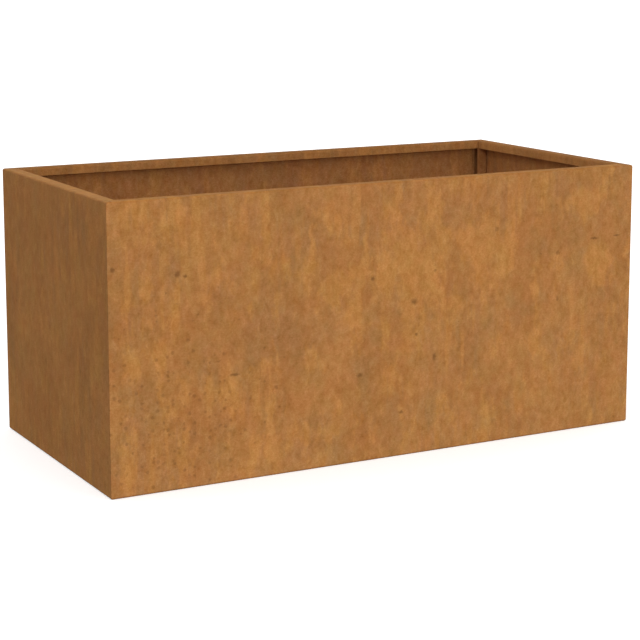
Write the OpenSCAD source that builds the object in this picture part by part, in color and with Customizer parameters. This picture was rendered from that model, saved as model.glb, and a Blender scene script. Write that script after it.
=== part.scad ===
// Rectangular weathering-steel planter box: folded sheet panels on channel corner posts.
// Millimetres, +X along the length, +Y to the back, +Z up.
// The origin is the middle of the footprint, on the ground.

/* [Overall size] */
// Outside length of the planter, along X
box_length = 620; // [450:10:900]
// Outside depth of the planter, front to back
box_depth = 300; // [250:10:450]
// Height from the ground to the top of the rim
box_height = 290; // [200:5:450]

/* [Sheet] */
// Thickness of every sheet piece
sheet_t = 1.5; // [1:0.25:1.75]
// Outside radius of the folds
bend_r = 2; // [2:0.25:3]
// Open gap left between two mitred edges
mitre_gap = 0.3; // [0.2:0.1:0.6]

/* [Rim and foot] */
// Width of the level top rim
rim_w = 15; // [15:1:25]
// Height of the lip turned down inside the rim
lip_h = 9; // [6:1:20]
// Width of the foot flange turned in under the walls
foot_w = 18; // [18:1:30]

/* [Base] */
// Free space left round the edge of the base
base_clear = 1.5; // [1:0.5:3]
// Diameter of a drain hole
drain_d = 12; // [8:1:16]
// Drain holes along the length
drain_columns = 3; // [2:1:5]
// Drain holes across the depth
drain_rows = 2; // [1:1:3]

/* [Fixings] */
// Weld studs in each corner
studs_per_corner = 3; // [2:1:4]
// Base studs along each long side
base_studs_per_side = 2; // [2:1:3]
// Length of a weld stud
stud_length = 8; // [8:1:10]

/* [Hidden] */
$fn = 48;

RUST = "#A7743F";
RUST_SHADE = "#8A5C33";
ZINC = "#B9BBB8";

// M4 fixings
stud_d = 4;
stud_flange_d = 5.5;
stud_flange_h = 0.7;
stud_chamfer = 0.5;
stud_hole_d = 6;
washer_d = 9;
washer_hole_d = 4.3;
washer_h = 0.8;
nut_flats = 7;
nut_h = 3.2;
nut_chamfer = 0.4;
thread_clear = 0.1;

// The posts fill the corner between the walls and the line of the rim's lip
post_w = rim_w - sheet_t;
post_gap = 0.5;
post_bottom = bend_r;
post_top = box_height - lip_h - post_gap;
post_h = post_top - post_bottom;

// End walls stand between the long walls
end_wall_gap = 0.1;
end_wall_length = box_depth - 2 * (sheet_t + end_wall_gap);

// Heights of the corner studs, evenly spread over the post
stud_end_margin = 40;
stud_pitch = (post_h - 2 * stud_end_margin) / (studs_per_corner - 1);
stud_heights = [for (i = [0 : studs_per_corner - 1]) post_bottom + stud_end_margin + i * stud_pitch];
stud_inset = sheet_t + post_w / 2;

// Base fixings stand on the foot flange, in line round the box
base_stud_inset = (sheet_t + foot_w) / 2;
base_stud_x = box_length / 2 - base_stud_inset;
base_stud_y = box_depth / 2 - base_stud_inset;
base_stud_span = box_length / 2;
base_stud_places = concat(
    [for (s = [-1, 1], i = [0 : base_studs_per_side - 1])
        [base_stud_span * (i / (base_studs_per_side - 1) - 0.5), s * base_stud_y]],
    [for (s = [-1, 1]) [s * base_stud_x, 0]]
);
base_top = 2 * sheet_t;
post_notch = rim_w + base_clear;
cut = 1;

// ---- Sheet sections, drawn with their outer corner at the origin ----

// A quarter ring of sheet that joins a leg along X to a leg along Y
module fold_2d() {
    translate([bend_r, bend_r]) intersection() {
        difference() {
            circle(r = bend_r);
            circle(r = bend_r - sheet_t);
        }
        translate([-bend_r, -bend_r]) square(bend_r);
    }
}

// The level rim and its turned-down lip; X runs inward and Y runs down
module rim_2d() {
    fold_2d();
    translate([bend_r, 0]) square([rim_w - 2 * bend_r, sheet_t]);
    translate([rim_w, 0]) mirror([1, 0]) fold_2d();
    translate([rim_w - sheet_t, bend_r]) square([sheet_t, lip_h - bend_r]);
}

// The foot flange; X runs inward and Y runs up
module foot_2d() {
    fold_2d();
    translate([bend_r, 0]) square([foot_w - bend_r, sheet_t]);
}

// ---- Panels, drawn with the outer face on Y = 0 and the inside towards +Y ----

// Extrudes a section along X, so that its X runs inward and its Y runs up
module run_along_x(length) {
    rotate([90, 0, 90]) linear_extrude(length, center = true) children();
}

// The space that a panel may fill between its two 45 degree mitres
module mitre_space(length) {
    half = length / 2 - mitre_gap / sqrt(2);
    depth = max(rim_w, foot_w) + cut;
    translate([0, 0, -cut]) linear_extrude(box_height + 2 * cut)
        polygon([[-half, 0], [half, 0], [half - depth, depth], [depth - half, depth]]);
}

// One side of the box: a plain wall with a mitred rim and a mitred foot flange
module panel(length, wall_length) {
    translate([-wall_length / 2, 0, bend_r])
        cube([wall_length, sheet_t, box_height - 2 * bend_r]);
    intersection() {
        mitre_space(length);
        union() {
            translate([0, 0, box_height]) run_along_x(length) mirror([0, 1]) rim_2d();
            run_along_x(length) foot_2d();
        }
    }
}

module long_panel() {
    panel(box_length, box_length);
}

module end_panel() {
    panel(box_depth, end_wall_length);
}

// Turns a panel to face one side of the box and moves it out to there
module to_side(angle, distance) {
    rotate([0, 0, angle]) translate([0, -distance, 0]) children();
}

// Flat base with drain holes, notched round the posts
module base() {
    half_x = box_length / 2 - sheet_t - base_clear;
    half_y = box_depth / 2 - sheet_t - base_clear;
    translate([0, 0, sheet_t]) linear_extrude(sheet_t) difference() {
        square([2 * half_x, 2 * half_y], center = true);
        for (sx = [-1, 1], sy = [-1, 1])
            translate([sx * box_length / 2, sy * box_depth / 2]) square(2 * post_notch, center = true);
        for (i = [0 : drain_columns - 1], j = [0 : drain_rows - 1])
            translate([
                box_length * ((i + 0.5) / drain_columns - 0.5),
                box_depth * ((j + 0.5) / drain_rows - 0.5)
            ]) circle(d = drain_d);
        for (p = base_stud_places)
            translate(p) circle(d = stud_hole_d);
    }
}

// ---- Corners, drawn for the front left and mirrored to the other three ----

// Puts a part drawn from the outer front left corner into the corner on side sx, sy
module in_corner(sx, sy) {
    flip_x = sx > 0 ? 1 : 0;
    flip_y = sy > 0 ? 1 : 0;
    mirror([flip_x, 0, 0]) mirror([0, flip_y, 0])
        translate([-box_length / 2, -box_depth / 2, 0]) children();
}

// Channel section: web along Y, both legs along X
module post_2d() {
    leg = post_w - bend_r;
    fold_2d();
    translate([0, post_w]) mirror([0, 1]) fold_2d();
    translate([0, bend_r]) square([sheet_t, post_w - 2 * bend_r]);
    translate([bend_r, 0]) square([leg, sheet_t]);
    translate([bend_r, post_w - sheet_t]) square([leg, sheet_t]);
}

// Folded channel: web on the end wall, one leg on the long wall, one leg in line with the lip
module post() {
    translate([sheet_t, sheet_t, post_bottom]) difference() {
        linear_extrude(post_h) post_2d();
        for (z = stud_heights)
            translate([-cut, post_w / 2, z - post_bottom]) rotate([0, 90, 0])
                cylinder(d = stud_hole_d, h = sheet_t + 2 * cut);
    }
}

// Repeats a fixing at each stud of a corner, pointing into the box from the end wall
module at_corner_studs(offset) {
    for (z = stud_heights)
        translate([sheet_t + offset, stud_inset, z]) rotate([0, 90, 0]) children();
}

// ---- Fixings, drawn along +Z from the face they sit on ----

module weld_stud() {
    cylinder(d = stud_flange_d, h = stud_flange_h);
    cylinder(d = stud_d, h = stud_length - stud_chamfer);
    translate([0, 0, stud_length - stud_chamfer])
        cylinder(d1 = stud_d, d2 = stud_d - 2 * stud_chamfer, h = stud_chamfer);
}

module washer() {
    difference() {
        cylinder(d = washer_d, h = washer_h);
        translate([0, 0, -cut]) cylinder(d = washer_hole_d, h = washer_h + 2 * cut);
    }
}

module nut() {
    corner_r = nut_flats / sqrt(3);
    difference() {
        intersection() {
            rotate([0, 0, 30]) cylinder(r = corner_r, h = nut_h, $fn = 6);
            rotate_extrude() polygon([
                [0, 0], [corner_r - nut_chamfer, 0], [corner_r, nut_chamfer],
                [corner_r, nut_h - nut_chamfer], [corner_r - nut_chamfer, nut_h], [0, nut_h]
            ]);
        }
        translate([0, 0, -cut]) cylinder(d = stud_d + thread_clear, h = nut_h + 2 * cut);
    }
}

// ---- Nodes ----

module front_panel() {
    color(RUST) to_side(0, box_depth / 2) long_panel();
}

module back_panel() {
    color(RUST) to_side(180, box_depth / 2) long_panel();
}

module left_end_panel() {
    color(RUST_SHADE) to_side(-90, box_length / 2) end_panel();
}

module right_end_panel() {
    color(RUST_SHADE) to_side(90, box_length / 2) end_panel();
}

module base_panel() {
    color(RUST_SHADE) base();
}

module corner_post(sx, sy) {
    color(RUST_SHADE) in_corner(sx, sy) post();
}

module corner_studs(sx, sy) {
    color(ZINC) in_corner(sx, sy) at_corner_studs(0) weld_stud();
}

module corner_washers(sx, sy) {
    color(ZINC) in_corner(sx, sy) at_corner_studs(sheet_t) washer();
}

module corner_nuts(sx, sy) {
    color(ZINC) in_corner(sx, sy) at_corner_studs(sheet_t + washer_h) nut();
}

module at_base_studs(z) {
    for (p = base_stud_places)
        translate([p[0], p[1], z]) children();
}

module base_studs() {
    color(ZINC) at_base_studs(sheet_t) weld_stud();
}

module base_washers() {
    color(ZINC) at_base_studs(base_top) washer();
}

module base_nuts() {
    color(ZINC) at_base_studs(base_top + washer_h) nut();
}

front_panel();
back_panel();
left_end_panel();
right_end_panel();
base_panel();
corner_post(-1, -1);  // corner_post_front_left
corner_post(1, -1);  // corner_post_front_right
corner_post(-1, 1);  // corner_post_back_left
corner_post(1, 1);  // corner_post_back_right
corner_studs(-1, -1);  // studs_front_left
corner_studs(1, -1);  // studs_front_right
corner_studs(-1, 1);  // studs_back_left
corner_studs(1, 1);  // studs_back_right
corner_washers(-1, -1);  // washers_front_left
corner_washers(1, -1);  // washers_front_right
corner_washers(-1, 1);  // washers_back_left
corner_washers(1, 1);  // washers_back_right
corner_nuts(-1, -1);  // nuts_front_left
corner_nuts(1, -1);  // nuts_front_right
corner_nuts(-1, 1);  // nuts_back_left
corner_nuts(1, 1);  // nuts_back_right
base_studs();
base_washers();
base_nuts();
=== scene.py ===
import math

import bmesh
import bpy
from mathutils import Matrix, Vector


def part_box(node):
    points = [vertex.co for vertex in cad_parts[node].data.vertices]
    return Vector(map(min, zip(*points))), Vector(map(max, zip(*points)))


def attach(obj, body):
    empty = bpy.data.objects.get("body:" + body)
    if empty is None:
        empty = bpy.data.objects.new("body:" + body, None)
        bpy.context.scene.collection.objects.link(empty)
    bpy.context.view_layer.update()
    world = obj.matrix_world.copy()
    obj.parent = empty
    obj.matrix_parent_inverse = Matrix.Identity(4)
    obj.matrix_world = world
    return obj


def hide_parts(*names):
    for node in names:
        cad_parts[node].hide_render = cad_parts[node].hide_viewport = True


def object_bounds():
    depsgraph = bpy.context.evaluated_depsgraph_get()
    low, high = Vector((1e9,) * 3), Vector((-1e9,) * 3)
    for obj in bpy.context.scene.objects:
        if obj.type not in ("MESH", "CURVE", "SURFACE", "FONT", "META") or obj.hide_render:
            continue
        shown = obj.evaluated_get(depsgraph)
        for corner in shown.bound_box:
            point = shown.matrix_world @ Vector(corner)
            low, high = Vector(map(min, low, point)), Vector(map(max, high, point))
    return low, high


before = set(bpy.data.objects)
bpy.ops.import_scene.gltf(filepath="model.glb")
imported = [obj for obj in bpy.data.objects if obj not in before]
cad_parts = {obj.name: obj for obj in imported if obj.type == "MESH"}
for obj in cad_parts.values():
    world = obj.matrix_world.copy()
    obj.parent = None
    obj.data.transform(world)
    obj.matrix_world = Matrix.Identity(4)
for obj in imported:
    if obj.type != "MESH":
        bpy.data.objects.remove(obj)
CAD_LOW, CAD_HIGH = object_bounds()

# The camera: where it stands, which way it looks and how much it takes in.
CAMERA_PLACE = (-0.9354, -1.7260, 0.5299)
CAMERA_TURN = -28.454       # degrees about Z, from facing +Y
CAMERA_DIP = 8.788          # degrees below the horizon
CAMERA_LENS = 101.82        # millimetres, as the sensor is
CAMERA_SENSOR = 36.0
CAMERA_SHIFT = -0.15        # of the picture's width
CAMERA_REACH = (0.05, 1000.0)

# Soft studio light: a pale tent overhead, a dim bounce from below, and low lights at two sides.
# A low light comes from a direction, at so many watts per square metre, and spreads over an angle.
SKY = 1.06
BOUNCE = 0.13
HORIZON = (-0.10, -0.01)            # the heights between which the one turns into the other
LOW_LIGHTS = {
    "front_light": ((0.16, -1.0, 0.0), 1.30, 1.0),
    "front_fill": ((-0.25, -1.0, 0.19), 0.38, 4.0),
    "side_light": ((1.0, 0.45, 0.0), 0.75, 3.0),
}
FLOOR_HALF = 300.0
FLOOR_SHADE = 0.90
FLOOR_GLOW = 0.38

# Rust colours, as linear red, green and blue. From GRAIN_LOW on, they multiply what is under them.
RUST = (0.352, 0.149, 0.0379)
RUST_DULL = (0.316, 0.129, 0.0320)
RUST_ORANGE = (0.423, 0.179, 0.0397)
RUST_GREY = (0.266, 0.124, 0.0394)
RUST_DARK = (0.130, 0.052, 0.0150)
GRAIN_LOW = (0.83, 0.77, 0.64)
GRAIN_HIGH = (1.20, 1.29, 1.54)
YELLOWER = (0.966, 1.029, 1.0)
REDDER = (1.034, 0.971, 1.0)
INSIDE = (1.01, 0.99, 1.07)         # multiplies the inner faces below the rim's lip: a little bluer, nearly as bright
FOLD_SHADE_AND_WEAR = (0.86, 0.80, 0.74)           # rounded folds: painted shade that dims the highlight they catch, patchy like wear

# The level top of each rim against its wall, with painted shade: the back and right rim tops are painted
# darker, the front and left ones only tinted a little.
RIM_TOP_PAINTED_SHADE = {
    "front_panel": (0.95, 0.94, 0.81),
    "left_end_panel": (1.00, 1.04, 0.98),
    "back_panel": (0.69, 0.66, 0.56),
    "right_end_panel": (0.74, 0.71, 0.60),
}

# Stains on the front: how far along it and up it, and their half width and half height, in metres.
FRONT_STAINS = {
    "orange": [(0.025, 0.180, 0.045, 0.090), (0.120, 0.215, 0.040, 0.045),
               (0.250, 0.250, 0.018, 0.024), (0.270, 0.180, 0.025, 0.030),
               (0.182, 0.165, 0.007, 0.018), (-0.270, 0.215, 0.012, 0.028),
               (-0.258, 0.140, 0.010, 0.018), (-0.142, 0.255, 0.008, 0.040),
               (-0.065, 0.185, 0.022, 0.020), (-0.140, 0.045, 0.007, 0.035)],
    "dull": [(-0.130, 0.125, 0.040, 0.045), (-0.300, 0.180, 0.016, 0.070),
             (-0.025, 0.265, 0.022, 0.024), (0.160, 0.140, 0.010, 0.035),
             (0.130, 0.045, 0.045, 0.035), (-0.125, 0.075, 0.020, 0.030)],
    "grey": [(-0.105, 0.240, 0.030, 0.045), (-0.035, 0.100, 0.015, 0.024),
             (-0.070, 0.035, 0.025, 0.025), (0.105, 0.025, 0.032, 0.022),
             (-0.290, 0.060, 0.018, 0.050), (0.225, 0.260, 0.015, 0.030),
             (-0.140, 0.155, 0.040, 0.045)],
    "dark": [(-0.238, 0.215, 0.0035, 0.0040), (-0.230, 0.213, 0.0025, 0.0020),
             (-0.020, 0.192, 0.0030, 0.0030), (0.030, 0.163, 0.0050, 0.0040),
             (0.055, 0.102, 0.0030, 0.0055), (0.033, 0.128, 0.0020, 0.0020),
             (-0.035, 0.092, 0.0045, 0.0025), (-0.177, 0.109, 0.0060, 0.0015),
             (0.015, 0.047, 0.0030, 0.0020), (-0.305, 0.225, 0.0030, 0.0030),
             (0.260, 0.212, 0.0060, 0.0015), (0.290, 0.213, 0.0050, 0.0015)],
}

# Where a wall's dark flecks crowd: how far along it, as a share of its length, and how far up it.
CROWD_ALONG = 0.1
CROWD_UP = 0.06

# How calm the rust is: above 1, its stains and grain are fainter. And how dark the flecks are.
LONG_WALL = {"calm": 1.0, "flecked": 0.36}
END_WALL = {"calm": 1.4, "flecked": 0.13}
INNER_SHEET = {"calm": 1.0, "flecked": 0.20}

# Each wall is its own sheet: the axis that it faces out along, which way, and the seed of its rust.
WALLS = {
    "front_panel": (1, -1, 10.0),
    "back_panel": (1, 1, 30.0),
    "left_end_panel": (0, -1, 50.0),
    "right_end_panel": (0, 1, 70.0),
}
LIP_HEIGHT = 0.009                  # of the rim's turned-down lip

# The base and the posts share one rust, with its flecks crowded at a point on the base.
INNER_SEED = 90.0
INNER_CROWD = (0.2, 0.1, 0.0)

# Zinc plate, bright and dull.
ZINC = (0.56, 0.57, 0.56)
ZINC_DULL = (0.36, 0.37, 0.37)


# ---- Shader trees ----

class Tree:
    """Adds nodes to a material and links them, so that a material reads as a list of steps."""

    def __init__(self, material):
        material.use_nodes = True
        self.tree = material.node_tree
        self.shader = self.tree.nodes["Principled BSDF"]

    def add(self, kind, **settings):
        made = self.tree.nodes.new(kind)
        for name, value in settings.items():
            setattr(made, name, value)
        return made

    def put(self, socket, value):
        """Links a socket to another node's output, or sets it to a plain value."""
        if isinstance(value, bpy.types.NodeSocket):
            self.tree.links.new(value, socket)
        elif hasattr(value, "__len__") and len(value) == 3 and len(socket.default_value) == 4:
            socket.default_value = (*value, 1.0)
        else:
            socket.default_value = value

    def place(self):
        """The point on the object, in metres."""
        return self.add("ShaderNodeTexCoord").outputs["Object"]

    def facing(self):
        return self.add("ShaderNodeTexCoord").outputs["Normal"]

    def split(self, vector):
        parts = self.add("ShaderNodeSeparateXYZ")
        self.put(parts.inputs[0], vector)
        return parts.outputs

    def stretched(self, place, scale, move=(0, 0, 0)):
        mapping = self.add("ShaderNodeMapping")
        self.put(mapping.inputs["Vector"], place)
        self.put(mapping.inputs["Scale"], scale)
        self.put(mapping.inputs["Location"], move)
        return mapping.outputs["Vector"]

    def noise(self, place, per_metre, seed, detail=2.0, roughness=0.5):
        """Soft noise from 0 to 1, with its mean at 0.5."""
        made = self.add("ShaderNodeTexNoise", noise_dimensions="4D")
        self.put(made.inputs["Vector"], place)
        self.put(made.inputs["W"], seed)
        self.put(made.inputs["Scale"], per_metre)
        self.put(made.inputs["Detail"], detail)
        self.put(made.inputs["Roughness"], roughness)
        return made.outputs["Fac"]

    def maths(self, operation, a, b=0.0):
        made = self.add("ShaderNodeMath", operation=operation)
        self.put(made.inputs[0], a)
        self.put(made.inputs[1], b)
        return made.outputs[0]

    def times(self, a, b):
        return self.maths("MULTIPLY", a, b)

    def vector_maths(self, operation, a, b):
        made = self.add("ShaderNodeVectorMath", operation=operation)
        self.put(made.inputs[0], a)
        self.put(made.inputs[1], b)
        return made.outputs["Vector"]

    def ramp(self, value, low, high, to_low=0.0, to_high=1.0, kind="SMOOTHSTEP"):
        """Turns low to high into to_low to to_high, and holds both ends."""
        made = self.add("ShaderNodeMapRange", interpolation_type=kind)
        for name, number in (("Value", value), ("From Min", low), ("From Max", high),
                             ("To Min", to_low), ("To Max", to_high)):
            self.put(made.inputs[name], number)
        return made.outputs["Result"]

    def blend(self, share, a, b, how="MIX"):
        made = self.add("ShaderNodeMix", data_type="RGBA", blend_type=how)
        self.put(made.inputs[0], share)
        self.put(made.inputs[6], a)
        self.put(made.inputs[7], b)
        return made.outputs[2]

    def warped(self, place, per_metre, seed, reach):
        """Moves each point by up to about reach, so that what follows has ragged outlines."""
        made = self.add("ShaderNodeTexNoise", noise_dimensions="4D")
        self.put(made.inputs["Vector"], place)
        self.put(made.inputs["W"], seed)
        self.put(made.inputs["Scale"], per_metre)
        centred = self.vector_maths("SUBTRACT", made.outputs["Color"], (0.5, 0.5, 0.5))
        pushed = self.vector_maths("MULTIPLY", centred, (2 * reach,) * 3)
        return self.vector_maths("ADD", place, pushed)

    def near(self, place, spots):
        """1 in the middle of each spot on an upright sheet along X, fading to 0 just past its edge."""
        found = 0.0
        for along, up, half_width, half_height in spots:
            scale = (1 / half_width, 0.0, 1 / half_height)
            centred = self.stretched(place, scale, (-along / half_width, 0.0, -up / half_height))
            length = self.add("ShaderNodeVectorMath", operation="LENGTH")
            self.put(length.inputs[0], centred)
            share = self.ramp(length.outputs["Value"], 1.25, 0.25)
            found = self.maths("MAXIMUM", share, found)
        return found

    def specks(self, place, per_metre, chance, size):
        """Soft dots: chance is the share of cells that have one, and size its widest radius in cells."""
        made = self.add("ShaderNodeTexVoronoi")
        self.put(made.inputs["Vector"], place)
        self.put(made.inputs["Scale"], per_metre)
        luck = self.split(made.outputs["Color"])[0]
        here = self.maths("SUBTRACT", chance, luck)
        radius = self.ramp(here, 0.0, 0.25, 0.0, size, "LINEAR")
        return self.ramp(made.outputs["Distance"], radius, self.times(radius, 0.35))

    def bump(self, height, depth, strength=1.0):
        made = self.add("ShaderNodeBump")
        self.put(made.inputs["Height"], height)
        self.put(made.inputs["Distance"], depth)
        self.put(made.inputs["Strength"], strength)
        self.put(self.shader.inputs["Normal"], made.outputs["Normal"])


# ---- Detailed pieces ----

# An M4 weld stud, in metres: a flange on a weld bead, then a thread with a chamfered tip.
STUD_MAJOR = 0.0020                 # radius at the thread's crest, root and tip
STUD_MINOR = 0.0016
STUD_TIP = 0.0014
STUD_PITCH = 0.0007
STUD_FLANGE = (0.00275, 0.0007)     # radius and height
STUD_BEAD = (0.00292, 0.0003)
STUD_SIDES = 24
STUD_STEPS = 6                      # rings in one turn of thread
CREST = 1.5                         # above 1, so that the thread's crest is flat


def solids(node):
    """The box of each separate solid in a CAD node."""
    mesh = bmesh.new()
    mesh.from_mesh(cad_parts[node].data)
    bmesh.ops.remove_doubles(mesh, verts=mesh.verts, dist=1e-6)
    waiting = set(mesh.verts)
    boxes = []
    while waiting:
        solid = [waiting.pop()]
        for vertex in solid:
            found = {edge.other_vert(vertex) for edge in vertex.link_edges} & waiting
            waiting -= found
            solid.extend(found)
        corners = list(zip(*(vertex.co for vertex in solid)))
        boxes.append((Vector(map(min, corners)), Vector(map(max, corners))))
    mesh.free()
    return sorted(boxes, key=lambda box: tuple(box[0]))


def stud_rings(length):
    """The stud's outline as rings, each a height and the radius at each of its sides."""
    bead_r, bead_h = STUD_BEAD
    flange_r, flange_h = STUD_FLANGE
    plain = [(0.0, bead_r), (bead_h, flange_r), (flange_h, flange_r), (flange_h, STUD_MINOR)]
    rings = [(height, [radius] * STUD_SIDES) for height, radius in plain]
    count = round((length - flange_h) / STUD_PITCH * STUD_STEPS)
    for i in range(1, count + 1):
        height = flange_h + (length - flange_h) * i / count
        tip = STUD_TIP + length - height
        radii = []
        for side in range(STUD_SIDES):
            turn = (height / STUD_PITCH - side / STUD_SIDES) % 1.0
            ridge = min(1.0, CREST * (1 - abs(2 * turn - 1)))
            radii.append(min(tip, STUD_MINOR + (STUD_MAJOR - STUD_MINOR) * ridge))
        rings.append((height, radii))
    return rings


def add_stud(mesh, foot, axis, length):
    """Adds a threaded stud that stands on foot and points along axis."""
    turn = axis.to_track_quat("Z", "Y")
    loops = []
    for height, radii in stud_rings(length):
        loop = []
        for side, radius in enumerate(radii):
            angle = 2 * math.pi * side / STUD_SIDES
            place = Vector((radius * math.cos(angle), radius * math.sin(angle), height))
            loop.append(mesh.verts.new(foot + turn @ place))
        loops.append(loop)
    for below, above in zip(loops, loops[1:]):
        for side in range(STUD_SIDES):
            after = (side + 1) % STUD_SIDES
            face = mesh.faces.new((below[side], below[after], above[after], above[side]))
            face.smooth = True
    mesh.faces.new(reversed(loops[0]))
    mesh.faces.new(loops[-1])


def thread_studs(node, material):
    """Replaces a CAD node of plain studs with threaded ones in the same places.

    Base studs point up, and corner studs point inward from the end walls.
    """
    mesh = bmesh.new()
    for low, high in solids(node):
        size = high - low
        along = max(range(3), key=lambda k: size[k])
        middle = (low + high) / 2
        axis = Vector((0, 0, 0))
        axis[along] = 1.0 if along == 2 or middle[along] < 0 else -1.0
        foot = middle - axis * size[along] / 2
        add_stud(mesh, foot, axis, size[along])
    data = bpy.data.meshes.new("threaded_" + node)
    mesh.to_mesh(data)
    mesh.free()
    piece = bpy.data.objects.new("threaded_" + node, data)
    bpy.context.scene.collection.objects.link(piece)
    data.materials.append(material)
    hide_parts(node)
    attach(piece, "root")


# ---- Materials ----

def rust_levels(t, seed):
    """The noises that rust is made of, from the broad areas down to the grit."""
    place = t.place()
    loose = t.warped(place, 60.0, seed + 1, 0.004)
    upright = t.stretched(loose, (1.0, 1.0, 0.7))
    tall = t.stretched(loose, (1.0, 1.0, 0.42))
    hanging = t.stretched(loose, (1.0, 1.0, 0.2))
    straight = t.stretched(place, (1.0, 1.0, 0.11))
    wide = t.stretched(place, (0.72, 0.72, 1.2))
    return {
        "washed": t.noise(loose, 11.0, seed + 13, 2.0),
        "dull": t.noise(upright, 15.0, seed + 2, 3.0, 0.6),
        "clouds": t.noise(upright, 26.0, seed + 3, 4.0, 0.65),
        "patches": t.noise(tall, 40.0, seed + 4, 4.0, 0.65),
        "hue": t.noise(upright, 44.0, seed + 15, 4.0, 0.8),
        "runs": t.noise(hanging, 75.0, seed + 5, 3.0, 0.6),
        "streaks": t.noise(straight, 95.0, seed + 12, 2.0, 0.6),
        "mottle": t.noise(upright, 150.0, seed + 6, 3.0, 0.7),
        "grain": t.noise(wide, 520.0, seed + 7, 2.0, 0.6),
        "grit": t.noise(place, 1700.0, seed + 14, 2.0, 0.65),
    }


def add_stains(t, levels, seed, stains):
    """Raises the noise that makes each colour of stain, where those stains are."""
    ragged = t.warped(t.place(), 90.0, seed + 10, 0.006)
    for level, colour, rise in (("dull", "dull", 0.16), ("clouds", "grey", 0.14),
                                ("patches", "orange", 0.15)):
        stained = t.times(t.near(ragged, stains[colour]), rise)
        levels[level] = t.maths("ADD", levels[level], stained)


def rust_colour(t, levels, calm):
    """The rust's colours laid over each other, then its changes of hue, then its grain."""
    washed = t.ramp(levels["washed"], 0.44, 0.60, 0.0, 0.42)
    bright_streaks = t.times(t.ramp(levels["streaks"], 0.52, 0.62), washed)
    grey_streaks = t.times(t.ramp(levels["streaks"], 0.48, 0.36), washed)
    colour = t.blend(t.ramp(levels["dull"], 0.42, 0.66), RUST, RUST_DULL)
    colour = t.blend(t.ramp(levels["clouds"], 0.42, 0.68, 0.0, 0.60 / calm), colour, RUST_GREY)
    colour = t.blend(t.ramp(levels["patches"], 0.50, 0.63, 0.0, 0.65 / calm), colour, RUST_ORANGE)
    colour = t.blend(t.ramp(levels["runs"], 0.35, 0.65, 0.30, 0.0), colour, RUST_DULL)
    colour = t.blend(bright_streaks, colour, RUST_ORANGE)
    colour = t.blend(grey_streaks, colour, RUST_GREY)
    hue = t.blend(t.ramp(levels["hue"], 0.3, 0.7), YELLOWER, REDDER)
    colour = t.blend(1.0, colour, hue, "MULTIPLY")
    for level, spread in (("mottle", 0.24), ("grain", 0.48), ("grit", 0.26)):
        high = t.ramp(levels[level], 0.5 - spread * calm, 0.5 + spread * calm, kind="LINEAR")
        colour = t.blend(1.0, colour, t.blend(high, GRAIN_LOW, GRAIN_HIGH), "MULTIPLY")
    return colour


def dark_marks(t, seed, crowd, flecked, stains):
    """Flecks that crowd around a point, a few larger spots anywhere, and the dark stains."""
    place = t.place()
    away = t.add("ShaderNodeVectorMath", operation="DISTANCE")
    t.put(away.inputs[0], place)
    t.put(away.inputs[1], crowd)
    chance = t.ramp(away.outputs["Value"], 0.03, 0.17, 0.50, 0.09)
    flecks = t.specks(t.warped(place, 420.0, seed + 8, 0.0012), 180.0, chance, 0.50)
    spots = t.specks(t.warped(place, 260.0, seed + 9, 0.0030), 38.0, 0.30, 0.13)
    marks = t.maths("MAXIMUM", t.times(flecks, flecked), t.times(spots, 0.45))
    if stains is not None:
        ragged = t.warped(place, 350.0, seed + 11, 0.0018)
        marks = t.maths("MAXIMUM", marks, t.times(t.near(ragged, stains["dark"]), 0.64))
    return marks


def folds(t):
    """1 on the rounded folds along the top and bottom edges, where the surface is aslant."""
    slant = t.maths("ABSOLUTE", t.split(t.facing())[2])
    return t.times(t.ramp(slant, 0.02, 0.20), t.ramp(slant, 0.99, 0.90))


def rust(name, seed, crowd, inside, look, rim=None, stains=None):
    """Weathered steel. The rust has run down the sheet, so most of what varies is taller than wide.

    crowd is the point that the dark flecks crowd around. inside says where the sheet faces the
    soil, as a function from the tree to a share. look is a dict like LONG_WALL, and stains one
    like FRONT_STAINS. rim multiplies the colour of the sheet's level top, as painted shade.
    """
    material = bpy.data.materials.new(name)
    t = Tree(material)
    levels = rust_levels(t, seed)
    if stains is not None:
        add_stains(t, levels, seed, stains)
    marks = dark_marks(t, seed, crowd, look["flecked"], stains)
    fold_shade_and_wear = t.times(folds(t), t.ramp(levels["patches"], 0.40, 0.60, 0.25, 1.0))

    colour = t.blend(marks, rust_colour(t, levels, look["calm"]), RUST_DARK)
    colour = t.blend(inside(t), colour, INSIDE, "MULTIPLY")
    # Painted shade: the rim's level top is darkened, most on the back and right walls.
    if rim is not None:
        rim_shade_share = t.ramp(t.split(t.facing())[2], 0.35, 0.85)
        colour = t.blend(rim_shade_share, colour, rim, "MULTIPLY")
    # Painted shade and wear on the rounded folds: patchy darkening that dims the highlight the bends
    # catch.
    colour = t.blend(fold_shade_and_wear, colour, FOLD_SHADE_AND_WEAR, "MULTIPLY")
    t.put(t.shader.inputs["Base Color"], colour)

    rough = t.ramp(levels["mottle"], 0.3, 0.7, 0.78, 0.94)
    t.put(t.shader.inputs["Roughness"], t.maths("SUBTRACT", rough, t.times(fold_shade_and_wear, 0.2)))
    t.put(t.shader.inputs["Specular IOR Level"], 0.06)
    height = t.times(marks, -0.5)
    for level, weight in (("mottle", 0.6), ("grain", 0.5), ("grit", 0.35)):
        height = t.maths("ADD", height, t.times(levels[level], weight))
    t.bump(height, 0.0005, 0.9)
    return material


def soil_side(axis, outward):
    """Where a wall faces the soil: its inner face, below the rim's lip. outward is 1 or -1."""
    lip_foot = CAD_HIGH[2] - LIP_HEIGHT

    def share(t):
        inward = t.times(t.split(t.facing())[axis], -outward)
        below = t.ramp(t.split(t.place())[2], lip_foot, lip_foot - 0.0005)
        return t.times(t.ramp(inward, 0.3, 0.7), below)
    return share


def all_over(t):
    return 1.0


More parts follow.
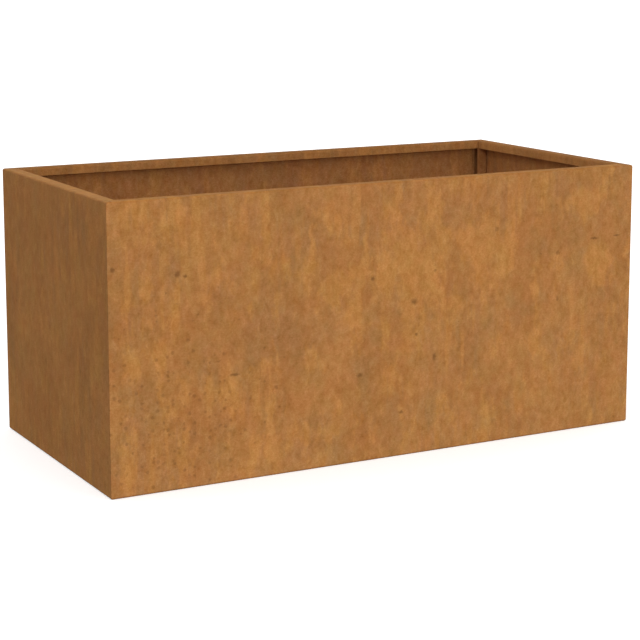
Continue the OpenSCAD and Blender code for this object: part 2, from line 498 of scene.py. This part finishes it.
def zinc_plate():
    material = bpy.data.materials.new("zinc_plate")
    t = Tree(material)
    place = t.place()
    clouds = t.noise(place, 260.0, 3.0, 3.0)
    stain = t.noise(place, 120.0, 4.0, 4.0, 0.6)
    colour = t.blend(t.ramp(clouds, 0.35, 0.65), ZINC_DULL, ZINC)
    colour = t.blend(t.ramp(stain, 0.52, 0.68, 0.0, 0.7), colour, RUST_DULL)
    t.put(t.shader.inputs["Base Color"], colour)
    t.put(t.shader.inputs["Metallic"], 1.0)
    t.put(t.shader.inputs["Roughness"], t.ramp(clouds, 0.3, 0.7, 0.34, 0.52))
    t.bump(t.noise(place, 1500.0, 5.0, 2.0), 0.0001, 0.4)
    return material


def paint(name, material):
    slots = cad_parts[name].data.materials
    slots.clear()
    slots.append(material)


def finish_panels():
    for name, (axis, outward, seed) in WALLS.items():
        low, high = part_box(name)
        along = low.x + CROWD_ALONG * (high.x - low.x)
        crowd = (along, low.y if outward < 0 else high.y, CROWD_UP)
        look = END_WALL if axis == 0 else LONG_WALL
        stains = FRONT_STAINS if name == "front_panel" else None
        material = rust("weathering_steel_" + name, seed, crowd, soil_side(axis, outward), look,
                        RIM_TOP_PAINTED_SHADE[name], stains)
        paint(name, material)


def finish_inner_parts():
    inner = rust("weathering_steel_inner", INNER_SEED, INNER_CROWD, all_over, INNER_SHEET)
    zinc = zinc_plate()
    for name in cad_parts:
        if name.startswith("corner_post") or name == "base_panel":
            paint(name, inner)
        elif "studs" in name:
            thread_studs(name, zinc)
        elif name not in WALLS:
            paint(name, zinc)


# ---- Stage ----

def add_camera():
    data = bpy.data.cameras.new("camera")
    data.lens = CAMERA_LENS
    data.sensor_width = CAMERA_SENSOR
    data.shift_y = CAMERA_SHIFT
    data.clip_start, data.clip_end = CAMERA_REACH
    camera = bpy.data.objects.new("camera", data)
    camera.location = CAMERA_PLACE
    camera.rotation_euler = (math.radians(90 - CAMERA_DIP), 0, math.radians(CAMERA_TURN))
    bpy.context.scene.collection.objects.link(camera)
    bpy.context.scene.camera = camera


def add_floor():
    """A pale floor. The tent's lower half already stands for its bounce, so it gives none itself."""
    mesh = bpy.data.meshes.new("floor")
    corners = [(FLOOR_HALF * x, FLOOR_HALF * y, 0) for x, y in ((-1, -1), (1, -1), (1, 1), (-1, 1))]
    mesh.from_pydata(corners, [], [(0, 1, 2, 3)])
    floor = bpy.data.objects.new("floor", mesh)
    bpy.context.scene.collection.objects.link(floor)
    floor.visible_diffuse = False
    floor.visible_glossy = False
    floor.visible_shadow = False
    material = bpy.data.materials.new("floor")
    t = Tree(material)
    t.put(t.shader.inputs["Base Color"], (FLOOR_SHADE,) * 3)
    t.put(t.shader.inputs["Roughness"], 1.0)
    t.put(t.shader.inputs["Specular IOR Level"], 0.0)
    t.put(t.shader.inputs["Emission Color"], (1.0, 1.0, 1.0))
    t.put(t.shader.inputs["Emission Strength"], FLOOR_GLOW)
    mesh.materials.append(material)


def add_tent():
    """Bright above the horizon and dim below it. The step between them hides behind the floor."""
    world = bpy.data.worlds.new("tent")
    bpy.context.scene.world = world
    world.use_nodes = True
    tree = world.node_tree
    background = tree.nodes["Background"]
    background.inputs["Color"].default_value = (1.0, 1.0, 1.0, 1.0)
    direction = tree.nodes.new("ShaderNodeTexCoord")
    height = tree.nodes.new("ShaderNodeSeparateXYZ")
    level = tree.nodes.new("ShaderNodeMapRange")
    for name, number in (("From Min", HORIZON[0]), ("From Max", HORIZON[1]),
                         ("To Min", BOUNCE), ("To Max", SKY)):
        level.inputs[name].default_value = number
    tree.links.new(direction.outputs["Generated"], height.inputs["Vector"])
    tree.links.new(height.outputs["Z"], level.inputs["Value"])
    tree.links.new(level.outputs["Result"], background.inputs["Strength"])


def add_low_lights():
    for name, (source, power, spread) in LOW_LIGHTS.items():
        data = bpy.data.lights.new(name, "SUN")
        data.energy = power
        data.angle = math.radians(spread)
        light = bpy.data.objects.new(name, data)
        light.rotation_euler = Vector(source).to_track_quat("Z", "Y").to_euler()
        bpy.context.scene.collection.objects.link(light)


def set_view():
    view = bpy.context.scene.view_settings
    view.view_transform = "Standard"
    view.look = "None"


add_camera()
add_floor()
add_tent()
add_low_lights()
set_view()
finish_panels()
finish_inner_parts()
